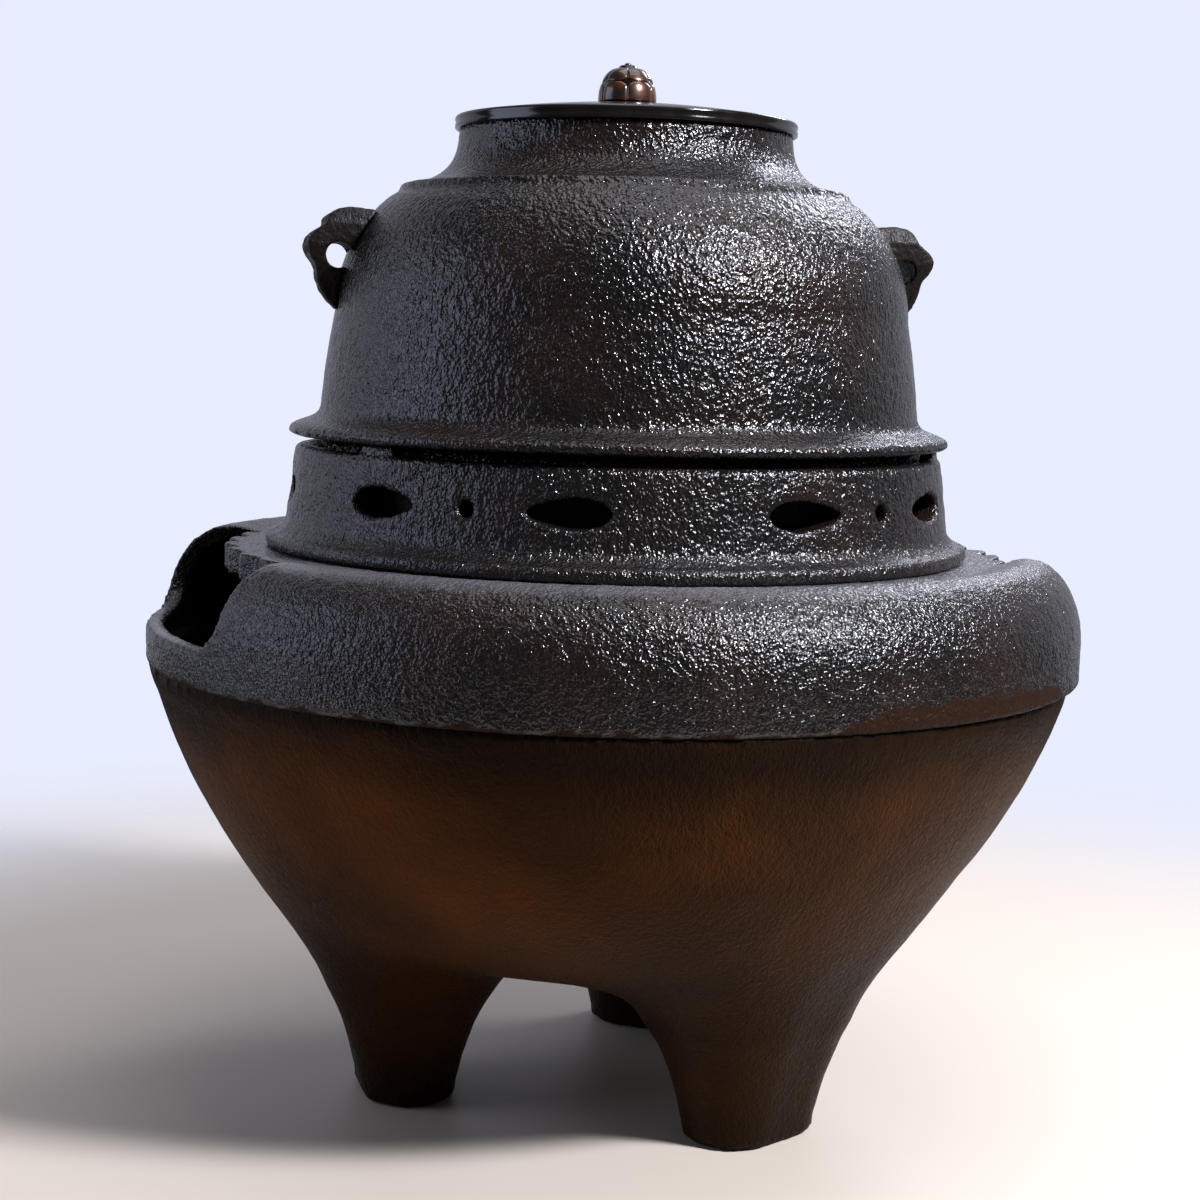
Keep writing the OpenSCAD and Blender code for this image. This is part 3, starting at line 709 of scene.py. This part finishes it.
class KETTLE_OT_kettle(bpy.types.Operator):
    """Grow the kettle's body"""
    bl_idname = "kettle.kettle"
    bl_label = "Kettle body"

    def execute(self, context):
        sizes = context.scene.kettle_skin
        piece = copy_of("kettle_shell", "kettle_body")
        remesh(piece, step=1.14 * sizes.voxel, rounds=2)
        self.sharpen(piece)
        iron = black_iron("kettle", grain=1.0, relief=0.54 * MM, rough=(0.13, 0.28), streak=1.2)
        skin(piece, iron, lump=sizes.lump, swell=sizes.swell, pebble=2.6 * MM, height=0.4 * MM,
             low=FLANGE_Z + 6 * MM, high=KETTLE_HIGH.z - 24 * MM, fade=5 * MM, calm=0.25)
        hand_in(piece, "kettle", "iron_black", "kettle_body")
        return {"FINISHED"}

    def sharpen(self, piece):
        """Brings back the small step round the neck's foot, which the even cells have melted."""
        points, normals = points_of(piece), points_of(piece, "normal")
        reach = reach_of(points) - NECK_R
        near = (normals[:, 2] > 0.2) & (np.abs(points[:, 2] - NECK_Z) < 6 * MM)
        rise = np.interp(reach, [-6 * MM, -0.1 * MM, 0.1 * MM, 4 * MM], [0, 0.7 * MM, -0.6 * MM, 0])
        points[:, 2] += rise * near
        set_points(piece, points)


class KETTLE_OT_lugs(bpy.types.Operator):
    """Carve the two lugs into masks"""
    bl_idname = "kettle.lugs"
    bl_label = "Lugs"

    # Bumps and hollows of half a mask in millimetres: how far from the middle and above the eye, how
    # wide and how tall, and how high
    relief = ((5.5, 11.6, 4.2, 1.6, 1.1), (0, 11.8, 1.1, 2.6, -0.9), (5.2, 7.6, 2.2, 1.6, -1.0),
              (5.2, 7.4, 1.0, 0.9, 1.0), (0, 5, 1.7, 4, 1.0), (2.3, 1.8, 1.1, 1.0, 0.8),
              (6.4, 2, 2.0, 2.4, 0.7), (0, -4.6, 4.2, 0.9, -0.9), (2.6, -7.6, 1.6, 1.5, 0.5),
              (0, -12, 1.2, 3, 0.6))

    def execute(self, context):
        iron = black_iron("lugs", grain=0.6, relief=0.16 * MM, rough=(0.38, 0.6), shine=0.22)
        for name, node in (("lug_front_carved", "lug_front"), ("lug_rear_carved", "lug_rear")):
            piece = copy_of(name, node)
            remesh(piece, step=0.45 * MM, rounds=10)
            self.carve(piece, sum(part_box(node), Vector()) / 2)
            skin(piece, iron, lump=4 * MM, swell=0.8 * MM, pebble=1.6 * MM, height=0.35 * MM, shift=5.0)
            hand_in(piece, "kettle", "iron_black", node)
        return {"FINISHED"}

    def carve(self, piece, middle):
        """Raises the mask's relief on the side that looks away from the kettle."""
        points, normals = points_of(piece), points_of(piece, "normal")
        away = np.array(middle.xy.normalized().to_3d())
        side = np.array((-away[1], away[0], 0))
        u, v = points @ side / MM, (points[:, 2] - EYE_Z) / MM
        rise = sum(high * np.exp(-((np.abs(u) - off) / wide) ** 2 - ((v - up) / tall) ** 2)
                   for off, up, wide, tall, high in self.relief)
        outer = np.clip(normals @ away, 0, 1)
        set_points(piece, points + (rise * outer * MM)[:, None] * away)


class KETTLE_OT_lid(bpy.types.Operator):
    """Turn the lid"""
    bl_idname = "kettle.lid"
    bl_label = "Lid"

    def execute(self, context):
        r, low, top = LID_HIGH.x, LID_LOW.z, LID_HIGH.z
        lip = KETTLE_HIGH.z
        edge = lip + 2.5 * MM
        flat, bore, sheet = 11 * MM, 2.2 * MM, 2.4 * MM
        rim, bead, groove = 1.0 * MM, 0.5 * MM, 0.35 * MM
        middle = (low + edge) / 2
        outside = ([(r - rim, low)] + arc((r - bead, low + bead), bead, 270, 360, 5)
                   + [(r, middle - 2 * groove), (r - groove, middle), (r, middle + 2 * groove)]
                   + arc((r - 2 * bead, edge - 2 * bead), 2 * bead, 0, 70, 6)
                   + bezier((r - 4 * MM, edge + 0.45 * MM), (0.6 * r, edge + 0.72 * (top - edge)),
                            (flat + 8 * MM, top), (flat, top), 24))
        inside = ([(bore, top), (bore, top - sheet)]
                  + bezier((flat, top - sheet), (flat + 8 * MM, top - sheet),
                           (0.6 * r, lip + 0.7 * (top - edge)), (r - 8 * MM, lip), 16)
                  + [(r - rim, lip)])
        piece = turned("kettle_lid", outside + inside, steps=192)
        piece.data.materials.append(lid_lacquer())
        hand_in(piece, "lid", "bronze_lid", "lid_plate")
        return {"FINISHED"}


class KETTLE_OT_knob(bpy.types.Operator):
    """Build the bud knob with its petals"""
    bl_idname = "kettle.knob"
    bl_label = "Knob"

    def execute(self, context):
        sizes = context.scene.kettle_knob
        copper = petal_copper()
        r, low, tall = KNOB_HIGH.x, KNOB_LOW.z, KNOB_HIGH.z - KNOB_LOW.z
        bud = r - sizes.petal_t
        crown = low + 0.87 * tall
        core = ([(0, low), (0.94 * bud, low)]
                + bezier((bud, low + 0.02 * tall), (1.03 * bud, low + 0.42 * tall),
                         (0.78 * bud, low + 0.85 * tall), (0.3 * r, crown), 24)
                + [(0.3 * r, crown + 0.04 * tall), (0.24 * r, crown + 0.07 * tall)]
                + [(0.13 * r, crown + 0.075 * tall)]
                + arc((0.06 * r, low + 0.96 * tall), 0.04 * tall, -10, 90, 6) + [(0, low + tall)])
        body = turned("knob_bud", core, steps=64)
        body.data.materials.append(core_copper())
        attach(body, "lid")

        def reach(z):
            return np.interp(z, [p[1] for p in core[1:-1]], [p[0] for p in core[1:-1]])

        waist = low + 0.5 * tall
        petal_turn = 0.5 + (context.scene.kettle_stage.azimuth / (2 * math.pi) - 0.25) * sizes.petals
        ring = tree_of("petal_ring", ring_tree)
        for name, start, stop in (("knob_petals_low", low + 0.02 * tall, waist - 0.008 * tall),
                                  ("knob_petals_high", crown - 0.01 * tall, waist + 0.008 * tall)):
            piece = self.petal(name, start, stop, reach, sizes)
            grow(piece, ring, count=sizes.petals, turn=petal_turn, material=copper)
            settle(piece)
            shade_smooth(piece)
            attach(piece, "lid")
        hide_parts("lid_knob")
        return {"FINISHED"}

    def petal(self, name, root, tip, reach, sizes):
        """One petal that hugs the bud from its root to its rounded tip, thickest along its middle."""
        across, along = 11, 14
        half = 0.998 * math.pi / sizes.petals
        straight, rounded, narrowing = 0.72, 0.28, 0.55
        sunk = 0.3 * MM
        shape = bmesh.new()
        sheets = []
        for lift in (0.0, 1.0):
            rows = []
            for v in np.linspace(0, 1, along):
                wide = half * (1 - narrowing * max(0.0, (v - straight) / rounded) ** 1.6)
                z = root + (tip - root) * v
                rows.append([])
                for u in np.linspace(-1, 1, across):
                    crown = sizes.petal_t * (1 - 0.3 * u ** 4) * (1 - 0.3 * v ** 6)
                    radius = reach(z) - sunk + lift * crown
                    angle = u * wide
                    x, y = radius * math.cos(angle), radius * math.sin(angle)
                    rows[-1].append(shape.verts.new((x, y, z)))
            sheets.append(rows)
        for rows in sheets:
            for i in range(along - 1):
                for j in range(across - 1):
                    shape.faces.new([rows[i][j], rows[i][j + 1], rows[i + 1][j + 1], rows[i + 1][j]])
        inner, outer = sheets
        rim = [(i, 0) for i in range(along)] + [(along - 1, j) for j in range(1, across)]
        rim += [(i, across - 1) for i in range(along - 2, -1, -1)]
        rim += [(0, j) for j in range(across - 2, 0, -1)]
        for (i, j), (k, m) in zip(rim, rim[1:] + rim[:1]):
            shape.faces.new([inner[i][j], inner[k][m], outer[k][m], outer[i][j]])
        bmesh.ops.recalc_face_normals(shape, faces=shape.faces)
        return piece_from(name, shape)


class KETTLE_OT_inner(bpy.types.Operator):
    """Finish the solids that stay as they are: pan, singing plates and the knob's fastening"""
    bl_idname = "kettle.inner"
    bl_label = "Inner pieces"

    def execute(self, context):
        soot_and_painted_shade, copper = sooted_iron(), core_copper()
        for node, material in (("kettle_pan", soot_and_painted_shade), ("singing_plates", soot_and_painted_shade), ("knob_seat", copper),
                               ("rivet_washer", copper), ("knob_rivet", copper)):
            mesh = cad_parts[node].data
            mesh.materials.clear()
            mesh.materials.append(material)
        return {"FINISHED"}


class KETTLE_OT_stage(bpy.types.Operator):
    """Set the floor, the lights and the camera"""
    bl_idname = "kettle.stage"
    bl_label = "Stage"

    def execute(self, context):
        sizes = context.scene.kettle_stage
        turn = Matrix.Rotation(sizes.azimuth, 4, "Z")
        context.scene.view_settings.view_transform = "Standard"
        self.floor()
        self.world()
        for name, spot, size, power, tint in (
                ("key", (0.83, -0.60, 1.01), (0.2, 0.2), 39.0, "#f1f4ff"),
                ("window", (-1.1, -0.15, 0.42), (0.7, 0.9), 4.6, "#d8e2ff"),
                ("back_wall", (0.0, 0.75, 0.5), (3.4, 1.2), 6.2, "#e9ecff"),
                ("rear", (0.55, 0.85, 0.9), (0.3, 0.3), 4.5, "#eef2ff"),
                ("ceiling", (0.2, 0.1, 1.7), (1.2, 1.2), 11.0, "#f6f6ff")):
            self.lamp(name, turn @ Vector(spot), size, power, tint)
        pitch, yaw, roll = sizes.pitch, sizes.yaw, sizes.roll
        ahead = Vector((math.sin(yaw) * math.cos(pitch), math.cos(yaw) * math.cos(pitch), -math.sin(pitch)))
        right = Vector((math.cos(yaw), -math.sin(yaw), 0))
        down = ahead.cross(right)
        side = math.cos(roll) * right + math.sin(roll) * down
        under = -math.sin(roll) * right + math.cos(roll) * down
        axes = Matrix((side, -under, -ahead)).transposed().to_4x4()
        lens = bpy.data.cameras.new("camera")
        lens.lens = sizes.lens
        lens.sensor_width = 36.0
        camera = link("camera", lens)
        spot = Matrix.Translation((0, -sizes.distance, sizes.height))
        camera.matrix_world = turn @ spot @ axes
        context.scene.camera = camera
        return {"FINISHED"}

    def floor(self):
        """A pale floor round the feet, which fades into the backdrop."""
        half, near, far = 1.2, 0.26, 0.62
        corners = [(-half, -half, 0), (half, -half, 0), (half, half, 0), (-half, half, 0)]
        mesh = bpy.data.meshes.new("floor")
        mesh.from_pydata(corners, [], [(0, 1, 2, 3)])
        material, tree, shader = new_material("pale_floor")
        shader.inputs["Base Color"].default_value = linear("#c9bdae")
        shader.inputs["Roughness"].default_value = 0.5
        place = add(tree, "ShaderNodeTexCoord").outputs["Object"]
        reach = add(tree, "ShaderNodeVectorMath", {0: place}, operation="LENGTH").outputs["Value"]
        share = ramp(tree, reach, near, far, interpolation_type="SMOOTHSTEP")
        clear = add(tree, "ShaderNodeBsdfTransparent").outputs[0]
        both = add(tree, "ShaderNodeMixShader", {0: share, 1: shader.outputs[0], 2: clear}).outputs[0]
        tree.links.new(both, tree.nodes["Material Output"].inputs["Surface"])
        mesh.materials.append(material)
        link("floor", mesh)

    def world(self):
        """An even pale surround, dimmer as a light than as a backdrop."""
        world = bpy.data.worlds.new("studio")
        world.use_nodes = True
        bpy.context.scene.world = world
        tree = world.node_tree
        tree.nodes.clear()
        seen = add(tree, "ShaderNodeLightPath").outputs["Is Camera Ray"]
        lit = add(tree, "ShaderNodeBackground", {"Color": linear("#e6e9f2"), "Strength": 0.07}).outputs[0]
        back = add(tree, "ShaderNodeBackground", {"Color": linear("#e8edff"), "Strength": 1.0}).outputs[0]
        both = add(tree, "ShaderNodeMixShader", {0: seen, 1: lit, 2: back}).outputs[0]
        add(tree, "ShaderNodeOutputWorld", {"Surface": both})

    def lamp(self, name, spot, size, power, tint):
        """A soft oblong light that looks at the middle of the object."""
        middle = Vector((0, 0, 0.2))
        light = bpy.data.lights.new(name, "AREA")
        light.shape = "RECTANGLE"
        light.size, light.size_y = size
        light.energy = power
        light.color = linear(tint)[:3]
        lamp = link(name, light)
        lamp.visible_camera = False
        lamp.location = spot
        lamp.rotation_euler = (middle - spot).to_track_quat("-Z", "Y").to_euler()


class VIEW3D_PT_kettle(bpy.types.Panel):
    """Steps and sizes of the kettle"""
    bl_label = "Tea kettle"
    bl_space_type = "VIEW_3D"
    bl_region_type = "UI"
    bl_category = "Kettle"

    def draw(self, context):
        for step in STEPS:
            self.layout.operator(step.bl_idname)
        for group, holder in HOLDERS.items():
            for key in holder.__annotations__:
                self.layout.prop(getattr(context.scene, group), key)


STEPS = (KETTLE_OT_bowl, KETTLE_OT_shoulder, KETTLE_OT_collar, KETTLE_OT_kettle, KETTLE_OT_lugs,
         KETTLE_OT_lid, KETTLE_OT_knob, KETTLE_OT_inner, KETTLE_OT_stage)
HOLDERS = {"kettle_skin": SkinSizes, "kettle_colours": FinishColours, "kettle_knob": KnobSizes,
           "kettle_stage": StageSizes}


def register():
    for holder in HOLDERS.values():
        bpy.utils.register_class(holder)
    for group, holder in HOLDERS.items():
        setattr(bpy.types.Scene, group, PointerProperty(type=holder))
    for step in STEPS + (VIEW3D_PT_kettle,):
        bpy.utils.register_class(step)


def unregister():
    for step in reversed(STEPS + (VIEW3D_PT_kettle,)):
        bpy.utils.unregister_class(step)
    for group, holder in HOLDERS.items():
        delattr(bpy.types.Scene, group)
        bpy.utils.unregister_class(holder)


def main():
    register()
    for step in STEPS:
        area, name = step.bl_idname.split(".")
        getattr(getattr(bpy.ops, area), name)()


if __name__ == "__main__":
    main()
